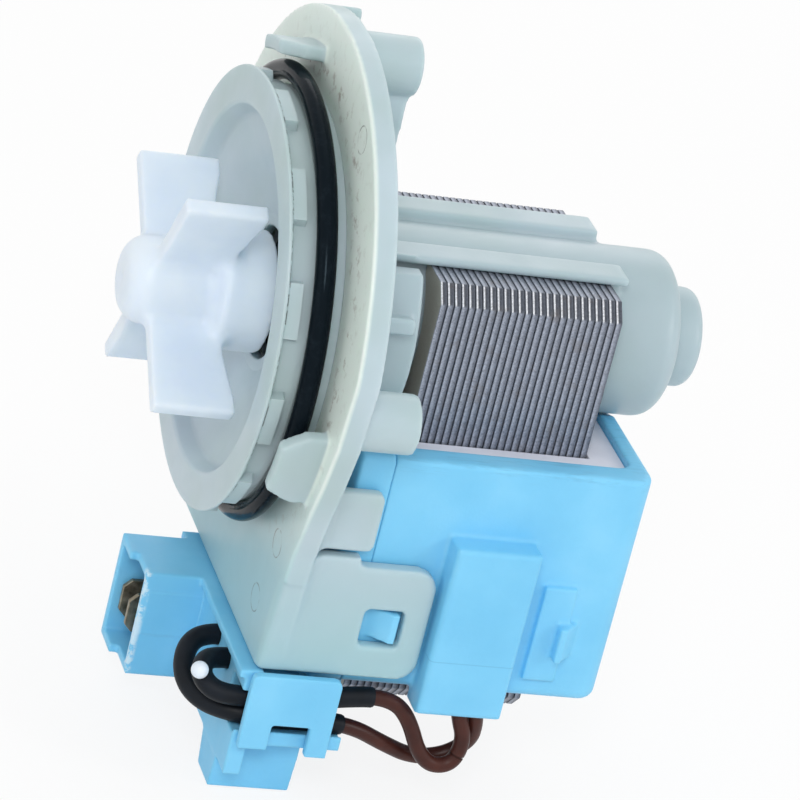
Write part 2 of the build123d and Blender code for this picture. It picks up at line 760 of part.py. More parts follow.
def lead(name, points, run, part):
    """Wire along the whole route, and the sleeve over its first runs."""
    radii = route_radii(points)
    print(name, "radii", [round(r, 1) for r in radii])
    path = FilletPolyline(*points, radius=radii)
    first = Plane(origin=path @ 0, z_dir=path % 0)
    wire = sweep(first * Circle(wire_r), path)
    a = Vector(*points[run])
    b = Vector(*points[run + 1])
    stop = a + (b - a) * (0.45 + 0.55 * part)
    sleeve_path = FilletPolyline(*points[:run + 1], stop, radius=radii[:run])
    section = first * (Circle(sleeve_r) - Circle(wire_r + sleeve_gap))
    sleeve = sweep(section, sleeve_path)
    pi = 3.14159265
    print(name, "wire", round(path.length, 2), "volume over section x length",
          round(wire.volume / (pi * wire_r ** 2 * path.length), 4), "sleeve",
          round(sleeve_path.length, 2),
          round(sleeve.volume / (pi * (sleeve_r ** 2 - (wire_r + sleeve_gap) ** 2) * sleeve_path.length), 4))
    return wire, sleeve


def lead_bead():
    """White bead beside the upper sleeve's loop."""
    return Pos(*bead_place) * Sphere(bead_r)


def pump():
    """All nodes by name."""
    near_bobbin, near_winding = coil(-1)
    far_bobbin, far_winding = coil(1)
    lower_lead, lower_sleeve = lead("lower_lead", lower_route, lower_sleeve_run, lower_sleeve_part)
    upper_lead, upper_sleeve = lead("upper_lead", upper_route, upper_sleeve_run, upper_sleeve_part)
    rear_start = rear_bearing_start
    rear_end = rear_bearing_start + rear_bearing_len
    bearing_end = bearing_front + bearing_len
    bush_bore = shaft_r + running_gap
    return {
        "pump_flange": pump_flange(),
        "front_dish": front_dish(),
        "o_ring": o_ring(),
        "impeller": impeller(),
        "hub_cap": hub_cap(),
        "stop_bumpers": stop_bumpers(),
        "drive_dog": drive_dog(),
        "shaft": disc(shaft_front, shaft_back, shaft_r),
        "rotor_magnet": tube(magnet_start, magnet_end, carrier_r, can_bore_r - magnet_gap),
        "rotor_carrier": rotor_carrier(),
        "front_bearing": tube(bearing_front, bearing_end, bush_bore, bearing_r),
        "front_grommet": tube(bearing_front, bearing_end, bearing_r, can_bore_r),
        "rear_bearing": tube(rear_start, rear_end, bush_bore, rear_bearing_r),
        "rear_grommet": tube(rear_start, rear_end, rear_bearing_r, tail_r - tail_wall),
        "front_washer": tube(bearing_front - washer_gap - washer_t, bearing_front - washer_gap,
                             shaft_r, washer_r),
        "rear_washer": tube(rear_start - washer_gap - washer_t, rear_start - washer_gap,
                            shaft_r, washer_r),
        "near_leg_sheets": leg_sheet(-1),
        "far_leg_sheets": leg_sheet(1),
        "yoke_sheets": yoke_sheets(),
        "near_bobbin": near_bobbin,
        "far_bobbin": far_bobbin,
        "near_winding": near_winding,
        "far_winding": far_winding,
        "insulation_card": insulation_card(),
        "coil_cover": coil_cover(),
        "cover_front": cover_front(),
        "thermal_cutout": thermal_cutout(),
        "terminal_housing": terminal_housing(),
        "spade_terminals": spade_terminals(),
        "wire_clip": wire_clip(),
        "lower_lead": lower_lead,
        "upper_lead": upper_lead,
        "lower_sleeve": lower_sleeve,
        "upper_sleeve": upper_sleeve,
        "lead_bead": lead_bead(),
    }


os.makedirs("parts", exist_ok=True)
for node, shape in pump().items():
    export_step(shape, "parts/" + node + ".step")
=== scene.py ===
# Synchronous drain pump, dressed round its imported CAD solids.
# Part frame in metres: +X along the shaft from the impeller to the motor's tail, +Z up, -Y the side with
# the leads. Sizes and places in the dictionaries below are in millimetres unless a note says otherwise.
import json
from math import pi, radians

import bmesh
import bpy
import numpy as np
from mathutils import Matrix, Vector


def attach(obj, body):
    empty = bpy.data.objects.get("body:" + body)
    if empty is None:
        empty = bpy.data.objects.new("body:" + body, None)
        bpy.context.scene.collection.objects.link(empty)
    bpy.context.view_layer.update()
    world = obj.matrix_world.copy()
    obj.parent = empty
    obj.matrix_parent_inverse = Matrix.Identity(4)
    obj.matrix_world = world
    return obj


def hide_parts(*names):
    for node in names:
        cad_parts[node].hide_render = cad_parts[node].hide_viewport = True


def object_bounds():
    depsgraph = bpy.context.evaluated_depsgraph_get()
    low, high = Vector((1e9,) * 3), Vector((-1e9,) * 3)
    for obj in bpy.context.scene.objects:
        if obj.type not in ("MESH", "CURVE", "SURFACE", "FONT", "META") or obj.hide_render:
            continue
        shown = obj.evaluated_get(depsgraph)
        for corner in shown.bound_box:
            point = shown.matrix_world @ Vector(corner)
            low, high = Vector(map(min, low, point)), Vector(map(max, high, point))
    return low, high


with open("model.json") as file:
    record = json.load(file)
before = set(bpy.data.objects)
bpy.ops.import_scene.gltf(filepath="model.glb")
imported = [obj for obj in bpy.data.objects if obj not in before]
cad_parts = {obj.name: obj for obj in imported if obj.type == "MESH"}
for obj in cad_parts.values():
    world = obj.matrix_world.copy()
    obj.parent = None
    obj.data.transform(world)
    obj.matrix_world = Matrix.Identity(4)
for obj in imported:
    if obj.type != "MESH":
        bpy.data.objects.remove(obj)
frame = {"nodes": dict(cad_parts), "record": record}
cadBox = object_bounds()
print("frame loaded", len(frame["nodes"]), "nodes")

scene = bpy.context.scene
millimetre = 0.001


def toLinear(hexColour):
    # each sRGB channel: up to 0.04045 divided by 12.92, above it ((c + 0.055) / 1.055) to the power 2.4
    value = np.array([int(hexColour[i:i + 2], 16) for i in (1, 3, 5)]) / 255
    linear = np.where(value <= 0.04045, value / 12.92, ((value + 0.055) / 1.055) ** 2.4)
    return (*linear, 1.0)


def addNode(tree, label, kind, settings, inputs):
    # settings are the node's own values, with "stops" for a ramp; an input is a number, a vector, a hex
    # colour, or the label and output of an earlier node, such as "grain.Fac"
    node = tree.nodes.new("ShaderNode" + kind)
    node.name = label
    for key, value in settings.items():
        if key == "stops":
            ramp = node.color_ramp
            while len(ramp.elements) < len(value):
                ramp.elements.new(0.5)
            for element, (place, colour) in zip(ramp.elements, value):
                isHex = isinstance(colour, str)
                element.position = place
                element.color = toLinear(colour) if isHex else (colour, colour, colour, 1)
        else:
            setattr(node, key, value)
    for key, value in inputs.items():
        if isinstance(value, str) and value[0] == "#":
            node.inputs[key].default_value = toLinear(value)
        elif isinstance(value, str):
            source, output = value.split(".")
            output = int(output) if output.isdigit() else output
            tree.links.new(tree.nodes[source].outputs[output], node.inputs[key])
        else:
            node.inputs[key].default_value = value
    return node


def buildMaterial(name, rows, surface):
    # one row for each node, then the shader's own values; every pattern reads Object coordinates
    material = bpy.data.materials.new(name)
    material.use_nodes = True
    tree = material.node_tree
    tree.nodes.clear()
    addNode(tree, "place", "TexCoord", {}, {})
    for label, kind, settings, inputs in rows:
        addNode(tree, label, kind, settings, inputs)
    addNode(tree, "shader", "BsdfPrincipled", {}, surface)
    addNode(tree, "output", "OutputMaterial", {}, {"Surface": "shader.BSDF"})
    return material


def perMillimetre(size):
    # noise scale for a blotch of the given width in millimetres
    return 1000 / size


def between(ends):
    # the two ends of a Map Range node, from a pair of places in millimetres
    return {"From Min": ends[0] * millimetre, "From Max": ends[1] * millimetre}


multiply = {"blend_type": "MULTIPLY"}

# unfilled polypropylene, injection moulded: milky, a little light goes in; the skin of a mould is finer
# than its grain here, which is as coarse as it needs to be to show
polypropyleneRows = [
    ("clouds", "TexNoise", {}, {"Vector": "place.Object", "Scale": perMillimetre(22), "Detail": 3.0}),
    ("tint", "ValToRGB", {"stops": [(0.30, "#AFC3C4"), (0.52, "#B7C9CF"), (0.75, "#C2D1DA")]},
     {"Fac": "clouds.Fac"}),
    ("axes", "SeparateXYZ", {}, {"Vector": "place.Object"}),
    ("flat", "CombineXYZ", {}, {"Y": "axes.Y", "Z": "axes.Z"}),
    ("fromShaft", "VectorMath", {"operation": "LENGTH"}, {0: "flat.Vector"}),
    ("patches", "TexNoise", {}, {"Vector": "place.Object", "Scale": perMillimetre(5), "Detail": 4.0}),
    ("sheen", "ValToRGB", {"stops": [(0.35, 0.33), (0.70, 0.45)]}, {"Fac": "patches.Fac"}),
    ("grain", "TexNoise", {}, {"Vector": "place.Object", "Scale": perMillimetre(0.7), "Detail": 2.0}),
    ("relief", "Bump", {}, {"Height": "grain.Fac", "Distance": 0.02 * millimetre, "Strength": 0.8}),
]
polypropyleneSurface = {"Roughness": "sheen.Color", "Normal": "relief.Normal", "IOR": 1.49,
                        "Specular IOR Level": 0.42, "Subsurface Weight": 0.5,
                        "Subsurface Radius": (0.9, 1.1, 1.0), "Subsurface Scale": 2.2 * millimetre}

# where the flange's tints, its painted shade and painted light, and its marks change, as pairs in
# millimetres:
# down the apron, out from the can and back along it where shade is painted, through the front face that is
# painted paler, up the disc and out across the smudges; then the rings that the ejector pins left on the
# front face, as (y, z, radius)
flangeMarks = {"apron": (-22, -44), "can": (31, 27), "canStart": (4.5, 7), "face": (-1.2, 1.2),
               "disc": (-32, -12), "smudges": (31, 43), "ringHalf": 0.5,
               "pins": [(-19.3, 33.3, 2.0), (-25.2, -27.6, 2.1), (-21.5, -38.6, 2.1)]}


def flangePolypropylene():
    marks = flangeMarks
    rows = polypropyleneRows + [
        # greener towards the apron, where the blue carrier shows through the thin wall
        ("low", "MapRange", {}, {"Value": "axes.Z", **between(marks["apron"]), "To Max": 0.62}),
        ("thin", "MixRGB", {}, {"Fac": "low.Result", "Color1": "tint.Color", "Color2": "#9DC9D3"}),
        # painted shade: behind the disc the can, its rails and collar are painted darker, for the disc's
        # shadow on them and for the dark rotor that shows through them
        ("inner", "MapRange", {}, {"Value": "fromShaft.Value", **between(marks["can"])}),
        ("behind", "MapRange", {}, {"Value": "axes.X", **between(marks["canStart"]), "To Max": 0.45}),
        ("canShare", "MixRGB", multiply, {"Fac": 1.0, "Color1": "inner.Result", "Color2": "behind.Result"}),
        ("can", "MixRGB", {}, {"Fac": "canShare.Color", "Color1": "thin.Color", "Color2": "#98ADB3"}),
        # the front face alone, without the lugs that stand in front of it
        ("face", "MapRange", {}, {"Value": "axes.X", **between(marks["face"])}),
        ("front", "ValToRGB", {"stops": [(0.30, 0.0), (0.40, 1.0), (0.58, 1.0), (0.78, 0.0)]},
         {"Fac": "face.Result"}),
        # painted light: the disc's front face is painted paler than the rest, for light coming through the
        # translucent flange and to lift it out of the dish's shade; darker towards its foot
        ("disc", "MapRange", {}, {"Value": "axes.Z", **between(marks["disc"])}),
        ("frontTint", "MixRGB", {}, {"Fac": "disc.Result", "Color1": "#A6C9D0", "Color2": "#DDE9E3"}),
        ("faced", "MixRGB", {}, {"Fac": "front.Color", "Color1": "can.Color", "Color2": "frontTint.Color"}),
        ("dust", "TexNoise", {}, {"Vector": "place.Object", "Scale": perMillimetre(2.2), "Detail": 5.0,
                                  "Roughness": 0.65}),
        ("smudge", "ValToRGB", {"stops": [(0.40, 0.0), (0.56, 0.9)]}, {"Fac": "dust.Fac"})]
    last = "faced.Color"
    for number, (y, z, radius) in enumerate(marks["pins"]):
        # a thin broken ring: dark where the distance from the pin's centre is near its radius
        key = "pin" + str(number)
        centre = (0, y * millimetre, z * millimetre)
        edge = (radius - marks["ringHalf"], radius + marks["ringHalf"])
        rows += [
            (key + "Far", "VectorMath", {"operation": "DISTANCE"}, {0: "flat.Vector", 1: centre}),
            (key + "Off", "MapRange", {}, {"Value": key + "Far.Value", **between(edge)}),
            (key + "Ring", "ValToRGB", {"stops": [(0.30, 0.0), (0.5, 1.0), (0.62, 0.0)]},
             {"Fac": key + "Off.Result"}),
            (key + "Broken", "MixRGB", multiply, {"Fac": 1.0, "Color1": key + "Ring.Color",
                                                  "Color2": "smudge.Color"}),
            (key, "MixRGB", {}, {"Fac": key + "Broken.Color", "Color1": last, "Color2": "#4C524C"})]
        last = key + ".Color"
    # brown smudges in a band just outside the seal ring, on the disc's front face only
    rows += [
        ("band", "MapRange", {}, {"Value": "fromShaft.Value", **between(marks["smudges"])}),
        ("bandShape", "ValToRGB", {"stops": [(0.0, 0.0), (0.25, 1.0), (0.55, 0.25), (1.0, 0.0)]},
         {"Fac": "band.Result"}),
        ("specks", "ValToRGB", {"stops": [(0.54, 0.0), (0.66, 0.7)]}, {"Fac": "dust.Fac"}),
        ("speckBand", "MixRGB", multiply, {"Fac": 1.0, "Color1": "specks.Color",
                                           "Color2": "bandShape.Color"}),
        ("speckFront", "MixRGB", multiply, {"Fac": 1.0, "Color1": "speckBand.Color",
                                            "Color2": "front.Color"}),
        ("speckDisc", "MixRGB", multiply, {"Fac": 1.0, "Color1": "speckFront.Color",
                                           "Color2": "disc.Result"}),
        ("worn", "MixRGB", {}, {"Fac": "speckDisc.Color", "Color1": last, "Color2": "#83786A"})]
    return buildMaterial("mouldedPolypropylene", rows, {"Base Color": "worn.Color", **polypropyleneSurface})


# the line of dust on the dish: along the back edge of its lip, outside the body
dishMarks = {"edge": (-8.85, -8.15), "outside": (30.0, 30.5)}


def dishPolypropylene():
    # the flange's plastic with dark dust caught along the back edge of the dish's lip
    rows = polypropyleneRows + [
        ("dust", "TexNoise", {}, {"Vector": "place.Object", "Scale": perMillimetre(1.6), "Detail": 4.0,
                                  "Roughness": 0.7}),
        ("specks", "ValToRGB", {"stops": [(0.47, 0.0), (0.55, 1.0)]}, {"Fac": "dust.Fac"}),
        ("edge", "MapRange", {}, {"Value": "axes.X", **between(dishMarks["edge"])}),
        ("edgeShape", "ValToRGB", {"stops": [(0.2, 0.0), (0.45, 1.0), (0.7, 0.0)]}, {"Fac": "edge.Result"}),
        ("outside", "MapRange", {}, {"Value": "fromShaft.Value", **between(dishMarks["outside"])}),
        ("seam", "MixRGB", multiply, {"Fac": 1.0, "Color1": "specks.Color", "Color2": "edgeShape.Color"}),
        ("seamOutside", "MixRGB", multiply, {"Fac": 1.0, "Color1": "seam.Color",
                                             "Color2": "outside.Result"}),
        ("worn", "MixRGB", {}, {"Fac": "seamOutside.Color", "Color1": "tint.Color", "Color2": "#3A3632"})]
    return buildMaterial("mouldedPolypropyleneDish", rows,
                         {"Base Color": "worn.Color", **polypropyleneSurface})


def mouldedPolyester(name, marks=(), last="tint"):
    # light blue polyester, injection moulded: satin, faint flow clouds; marks are the rows of one piece's
    # own lines and scuffs
    return buildMaterial(name, [
        ("axes", "SeparateXYZ", {}, {"Vector": "place.Object"}),
        ("clouds", "TexNoise", {}, {"Vector": "place.Object", "Scale": perMillimetre(14), "Detail": 4.0}),
        ("tint", "ValToRGB", {"stops": [(0.30, "#74C5ED"), (0.55, "#7ECDF3"), (0.78, "#8BD4F7")]},
         {"Fac": "clouds.Fac"}),
        ("patches", "TexNoise", {}, {"Vector": "place.Object", "Scale": perMillimetre(3), "Detail": 4.0}),
        ("sheen", "ValToRGB", {"stops": [(0.35, 0.40), (0.70, 0.54)]}, {"Fac": "patches.Fac"}),
        ("grain", "TexNoise", {}, {"Vector": "place.Object", "Scale": perMillimetre(0.6), "Detail": 3.0}),
        ("relief", "Bump", {}, {"Height": "grain.Fac", "Distance": 0.03 * millimetre, "Strength": 0.8}),
        *marks,
    ], {"Base Color": last + ".Color", "Roughness": "sheen.Color", "Normal": "relief.Normal", "IOR": 1.54,
        "Specular IOR Level": 0.42, "Subsurface Weight": 0.12, "Subsurface Radius": (0.4, 0.9, 1.0),
        "Subsurface Scale": 1.2 * millimetre})


# on the coil cover, as pairs in millimetres: up to the scuffed top edge, down through the line of painted
# shade under the step, and out to the protector block's face, which alone has that line
coverPlaces = {"topEdge": (-14.0, -12.0), "step": (-41.7, -41.1), "blockFace": (-28.5, -29.5)}
coverMarks = [
    ("drawn", "Mapping", {}, {"Vector": "place.Object", "Scale": (0.12, 1.0, 1.0)}),  # scuffs run along X
    ("scuffs", "TexNoise", {}, {"Vector": "drawn.Vector", "Scale": perMillimetre(0.9), "Detail": 4.0,
                                "Roughness": 0.7}),
    ("scuffed", "ValToRGB", {"stops": [(0.52, 0.0), (0.68, 0.35)]}, {"Fac": "scuffs.Fac"}),
    ("edge", "MapRange", {}, {"Value": "axes.Z", **between(coverPlaces["topEdge"])}),
    ("edgeScuff", "MixRGB", multiply, {"Fac": 1.0, "Color1": "scuffed.Color", "Color2": "edge.Result"}),
    ("rubbed", "MixRGB", {}, {"Fac": "edgeScuff.Color", "Color1": "tint.Color", "Color2": "#5E9CBC"}),
    # painted shade: a thin darker line under the cover's small step, on the block's face only
    ("step", "MapRange", {}, {"Value": "axes.Z", **between(coverPlaces["step"])}),
    ("stepLine", "ValToRGB", {"stops": [(0.25, 0.0), (0.5, 0.55), (0.75, 0.0)]}, {"Fac": "step.Result"}),
    ("face", "MapRange", {}, {"Value": "axes.Y", **between(coverPlaces["blockFace"])}),
    ("stepFace", "MixRGB", multiply, {"Fac": 1.0, "Color1": "stepLine.Color", "Color2": "face.Result"}),
    ("lined", "MixRGB", {}, {"Fac": "stepFace.Color", "Color1": "rubbed.Color", "Color2": "#5FA9D2"})]

# on the carrier: pale stressed plastic and flash on the front edge of the socket's near wall
carrierPlaces = {"mouth": (-9.6, -10.1), "nearWall": (-0.2, -1.4)}
carrierMarks = [
    ("flash", "TexNoise", {}, {"Vector": "place.Object", "Scale": perMillimetre(1.3), "Detail": 4.0,
                               "Roughness": 0.65}),
    ("flashed", "ValToRGB", {"stops": [(0.42, 0.0), (0.52, 0.85)]}, {"Fac": "flash.Fac"}),
    ("mouth", "MapRange", {}, {"Value": "axes.X", **between(carrierPlaces["mouth"])}),
    ("nearWall", "MapRange", {}, {"Value": "axes.Y", **between(carrierPlaces["nearWall"])}),
    ("mouthNear", "MixRGB", multiply, {"Fac": 1.0, "Color1": "mouth.Result", "Color2": "nearWall.Result"}),
    ("pale", "MixRGB", multiply, {"Fac": 1.0, "Color1": "flashed.Color", "Color2": "mouthNear.Color"}),
    ("lined", "MixRGB", {}, {"Fac": "pale.Color", "Color1": "tint.Color", "Color2": "#D4ECFA"})]


def mouldedNylon():
    # natural white nylon, injection moulded: bright, waxy, cool in the shade
    return buildMaterial("mouldedNylon", [
        ("clouds", "TexNoise", {}, {"Vector": "place.Object", "Scale": perMillimetre(9), "Detail": 3.0}),
        ("tint", "ValToRGB", {"stops": [(0.3, "#DCE8F8"), (0.7, "#E6F0FD")]}, {"Fac": "clouds.Fac"}),
        ("patches", "TexNoise", {}, {"Vector": "place.Object", "Scale": perMillimetre(3), "Detail": 4.0}),
        ("sheen", "ValToRGB", {"stops": [(0.35, 0.36), (0.70, 0.46)]}, {"Fac": "patches.Fac"}),
        ("grain", "TexNoise", {}, {"Vector": "place.Object", "Scale": perMillimetre(0.8), "Detail": 2.0}),
        ("relief", "Bump", {}, {"Height": "grain.Fac", "Distance": 0.02 * millimetre, "Strength": 0.8}),
    ], {"Base Color": "tint.Color", "Roughness": "sheen.Color", "Normal": "relief.Normal", "IOR": 1.53,
        "Specular IOR Level": 0.42, "Subsurface Weight": 0.5, "Subsurface Radius": (0.9, 1.0, 1.2),
        "Subsurface Scale": 2.0 * millimetre})


# the core of 26 sheets, in millimetres: where it starts, one sheet, the legs' chamfered corners as pairs
# in height and outwards, and the depth of the first sheet's flat face
core = {"start": 17.8, "pitch": 28.0 / 26, "cornerHigh": (8.95, 9.25), "cornerOut": (15.45, 15.75),
        "flankFull": 0.02, "flankEnd": 0.05}


def stampedCoreSteel():
    # electrical sheet, stamped: the stripes repeat with the sheets, a cut edge's bright burnished band and
    # dull broken one together with a painted highlight on each sheet's rounded edge and painted shade in
    # the gap to the next; speckled grey, with a little rust and soot low down
    flank = (core["start"] + core["flankEnd"], core["start"] + core["flankFull"])
    return buildMaterial("stampedCoreSteel", [
        ("axes", "SeparateXYZ", {}, {"Vector": "place.Object"}),
        ("sheet", "Math", {"operation": "SUBTRACT"}, {0: "axes.X", 1: core["start"] * millimetre}),
        ("sheetPart", "Math", {"operation": "DIVIDE"}, {0: "sheet.Value", 1: core["pitch"] * millimetre}),
        ("across", "Math", {"operation": "FRACT"}, {0: "sheetPart.Value"}),
        # painted highlight and shade across each sheet: bright on its rounded edge, dark at the gap between
        # sheets
        ("band", "ValToRGB", {"stops": [(0.03, "#6A707C"), (0.14, "#B9C0CE"), (0.40, "#A3AAB8"),
                                        (0.60, "#858C9A"), (0.88, "#656B77")]}, {"Fac": "across.Value"}),
        # the chamfered corner of the legs: each sheet is painted dark there, inside a bright painted glint
        # along its turned-up burr where it catches the light
        ("burr", "ValToRGB", {"stops": [(0.02, "#6A707C"), (0.10, "#F4F6FA"), (0.24, "#F4F6FA"),
                                        (0.34, "#4E535D"), (0.80, "#5A606B"), (0.95, "#9299A6")]},
         {"Fac": "across.Value"}),
        ("outward", "Math", {"operation": "ABSOLUTE"}, {0: "axes.Y"}),
        ("cornerHigh", "MapRange", {}, {"Value": "axes.Z", **between(core["cornerHigh"])}),
        ("cornerOut", "MapRange", {}, {"Value": "outward.Value", **between(core["cornerOut"])}),
        ("corner", "MixRGB", multiply, {"Fac": 1.0, "Color1": "cornerHigh.Result",
                                        "Color2": "cornerOut.Result"}),
        ("edges", "MixRGB", {}, {"Fac": "corner.Color", "Color1": "band.Color", "Color2": "burr.Color"}),
        ("grain", "TexNoise", {}, {"Vector": "place.Object", "Scale": perMillimetre(0.28), "Detail": 3.0,
                                   "Roughness": 0.7}),
        ("speckle", "ValToRGB", {"stops": [(0.30, "#9A9A9E"), (0.50, "#D8D8DA"), (0.72, "#FFFFFF")]},
         {"Fac": "grain.Fac"}),
        ("grey", "MixRGB", multiply, {"Fac": 0.8, "Color1": "edges.Color", "Color2": "speckle.Color"}),
        ("stains", "TexNoise", {}, {"Vector": "place.Object", "Scale": perMillimetre(3.5), "Detail": 5.0,
                                    "Roughness": 0.6}),
        ("rust", "ValToRGB", {"stops": [(0.56, 0.0), (0.72, 0.45)]}, {"Fac": "stains.Fac"}),
        ("worn", "MixRGB", {}, {"Fac": "rust.Color", "Color1": "grey.Color", "Color2": "#6A625E"}),
        # the first sheet's flat face is duller and brown with old varnish, and painted lighter: painted
        # light that lifts it out of the shade between the collar and the leg
        ("flank", "MapRange", {}, {"Value": "axes.X", **between(flank)}),
        ("varnished", "MixRGB", {}, {"Fac": "flank.Result", "Color1": "worn.Color", "Color2": "#B4AEA2"}),
        ("sheen", "ValToRGB", {"stops": [(0.35, 0.38), (0.70, 0.60)]}, {"Fac": "grain.Fac"}),
        ("relief", "Bump", {}, {"Height": "grain.Fac", "Distance": 0.02 * millimetre}),
    ], {"Base Color": "varnished.Color", "Roughness": "sheen.Color", "Normal": "relief.Normal",
        "Metallic": 0.35})


def mouldedRubber(name, hexColour, dustColour, roughLow, roughHigh, level):
    # moulded rubber: near black, dulled where dust sits; level is the strength of its gleam
    return buildMaterial(name, [
        ("dust", "TexNoise", {}, {"Vector": "place.Object", "Scale": perMillimetre(1.4), "Detail": 5.0,
                                  "Roughness": 0.7}),
        ("tint", "ValToRGB", {"stops": [(0.50, hexColour), (0.80, dustColour)]}, {"Fac": "dust.Fac"}),
        ("patches", "TexNoise", {}, {"Vector": "place.Object", "Scale": perMillimetre(4), "Detail": 4.0}),
        ("sheen", "ValToRGB", {"stops": [(0.35, roughLow), (0.70, roughHigh)]}, {"Fac": "patches.Fac"}),
        ("relief", "Bump", {}, {"Height": "dust.Fac", "Distance": 0.02 * millimetre}),
    ], {"Base Color": "tint.Color", "Roughness": "sheen.Color", "Normal": "relief.Normal", "IOR": 1.52,
        "Specular IOR Level": level, "Specular Tint": "#BFE0F2"})


def extrudedSleeve(name, low, high, rough, level):
    # extruded soft tube or wire insulation: satin, with faint blotches where hands and bends have worn it
    return buildMaterial(name, [
        ("blotch", "TexNoise", {}, {"Vector": "place.Object", "Scale": perMillimetre(3.5), "Detail": 4.0}),
        ("tint", "ValToRGB", {"stops": [(0.3, low), (0.7, high)]}, {"Fac": "blotch.Fac"}),
        ("sheen", "ValToRGB", {"stops": [(0.3, rough), (0.7, rough + 0.14)]}, {"Fac": "blotch.Fac"}),
        ("grain", "TexNoise", {}, {"Vector": "place.Object", "Scale": perMillimetre(0.7), "Detail": 3.0}),
        ("relief", "Bump", {}, {"Height": "grain.Fac", "Distance": 0.03 * millimetre}),
    ], {"Base Color": "tint.Color", "Roughness": "sheen.Color", "Normal": "relief.Normal", "IOR": 1.5,
        "Specular IOR Level": level})


def grainedSolid(name, low, high, size, rough, bump, metallic=0.0):
    # a fine-grained solid in two near shades; size is its blotch and bump its depth, in millimetres
    return buildMaterial(name, [
        ("blotch", "TexNoise", {}, {"Vector": "place.Object", "Scale": perMillimetre(size), "Detail": 4.0}),
        ("tint", "ValToRGB", {"stops": [(0.3, low), (0.7, high)]}, {"Fac": "blotch.Fac"}),
        ("sheen", "ValToRGB", {"stops": [(0.3, rough), (0.7, rough + 0.12)]}, {"Fac": "blotch.Fac"}),
        ("grain", "TexNoise", {}, {"Vector": "place.Object", "Scale": perMillimetre(size / 6),
                                   "Detail": 3.0}),
        ("relief", "Bump", {}, {"Height": "grain.Fac", "Distance": bump * millimetre}),
    ], {"Base Color": "tint.Color", "Roughness": "sheen.Color", "Normal": "relief.Normal",
        "Metallic": metallic})


materials = {
    "pp_moulding": flangePolypropylene(),
    "blue_moulding": mouldedPolyester("mouldedBluePolyester"),
    "nylon": mouldedNylon(),
    "core_steel": stampedCoreSteel(),
    # nitrile rubber, moulded: near black with an oily gleam
    "rubber": mouldedRubber("mouldedNitrileRubber", "#0F161C", "#1B232A", 0.12, 0.20, 0.06),
    # soft rubber, moulded: dark and dull
    "bumper_rubber": mouldedRubber("mouldedSoftRubber", "#14161A", "#2A2C30", 0.45, 0.60, 0.4),
    "lead_insulation": extrudedSleeve("extrudedBrownSilicone", "#351915", "#49241C", 0.34, 0.26),
    "sleeve_black": extrudedSleeve("extrudedBlackSleeve", "#0D1218", "#161C24", 0.42, 0.18),
    # natural acetal, moulded: opaque white with a dry sheen
    "acetal": grainedSolid("mouldedAcetal", "#DDE2E6", "#E8ECEF", 8, 0.34, 0.02),
    # stainless rod, ground: fine even gleam
    "shaft_steel": grainedSolid("groundStainlessSteel", "#A8ACB0", "#C0C3C6", 2, 0.18, 0.01, 1.0),
    # ferrite, pressed and sintered: charcoal, dull
    "ferrite": grainedSolid("sinteredFerrite", "#34363A", "#44474B", 1, 0.5, 0.04),
    # alumina, pressed and sintered: ivory, smooth
    "bearing_ceramic": grainedSolid("sinteredAlumina", "#E4DFD2", "#EFEBE0", 1, 0.35, 0.01),
    # enamelled wire, wound: warm brown, glossy between dark grooves
    "copper_wire": grainedSolid("enamelledCopperWire", "#8E4A26", "#A85A30", 0.6, 0.3, 0.08, 0.6),
    # insulation board, pressed: white and chalky
    "card": grainedSolid("pressedInsulationBoard", "#DCDFEC", "#E6E8F4", 6, 0.55, 0.03),
    # phenolic, moulded: nearly black, hard
    "cutout_case": grainedSolid("mouldedPhenolic", "#26262A", "#323236", 2, 0.4, 0.02),
    # brass strip, stamped and tarnished: brown with pale rubbed streaks
    "tinned_brass": grainedSolid("stampedTarnishedBrass", "#5D5240", "#A39A86", 1.6, 0.34, 0.04, 0.8),
}
# pieces with marks of their own, by node
ownMaterials = {"front_dish": dishPolypropylene(),
                "coil_cover": mouldedPolyester("mouldedBluePolyesterCover", coverMarks, "lined"),
                "terminal_housing": mouldedPolyester("mouldedBluePolyesterCarrier", carrierMarks, "lined")}
# every CAD node gets its material, also those that no piece below replaces
slots = {row["node"]: row["material_slot"] for row in frame["record"]["subparts"]}
for node, piece in frame["nodes"].items():
    piece.data.materials.clear()
    piece.data.materials.append(materials[slots[node]])
print("materials", len(materials))


def finishPiece(name, mesh, body, slot, nodes=(), smoothAngle=40):
    # the mesh as a piece at the origin, with its body, the material of its node or else its slot, and the
    # CAD nodes that it stands for hidden
    piece = bpy.data.objects.new(name, mesh)
    scene.collection.objects.link(piece)
    mesh.materials.clear()
    mesh.materials.append(ownMaterials.get(nodes[0] if nodes else "", materials[slot]))
    mesh.polygons.foreach_set("use_smooth", np.ones(len(mesh.polygons), bool))
    if smoothAngle < 180:
        mesh.set_sharp_from_angle(angle=radians(smoothAngle))
    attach(piece, body)
    if nodes:
        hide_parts(*nodes)
    return piece


def gridMesh(name, points, closeRows, closeColumns, capStart=False, capEnd=False):
    # points[i, j] in millimetres: i runs along the first parameter, j round the second
    rows, columns = points.shape[:2]
    number = np.arange(rows * columns).reshape(rows, columns)
    nextRow = np.roll(number, -1, axis=0) if closeRows else number[1:]
    thisRow = number if closeRows else number[:-1]
    if closeColumns:
        right = np.roll(thisRow, -1, axis=1)
        rightNext = np.roll(nextRow, -1, axis=1)
        quads = np.stack([thisRow, nextRow, rightNext, right], axis=-1)
    else:
        quads = np.stack([thisRow[:, :-1], nextRow[:, :-1], nextRow[:, 1:], thisRow[:, 1:]], axis=-1)
    faces = quads.reshape(-1, 4).tolist()
    if capStart:
        faces.append(number[0].tolist())
    if capEnd:
        faces.append(number[-1][::-1].tolist())
    mesh = bpy.data.meshes.new(name)
    mesh.from_pydata((points.reshape(-1, 3) * millimetre).tolist(), [], faces)
    return tidyMesh(mesh)


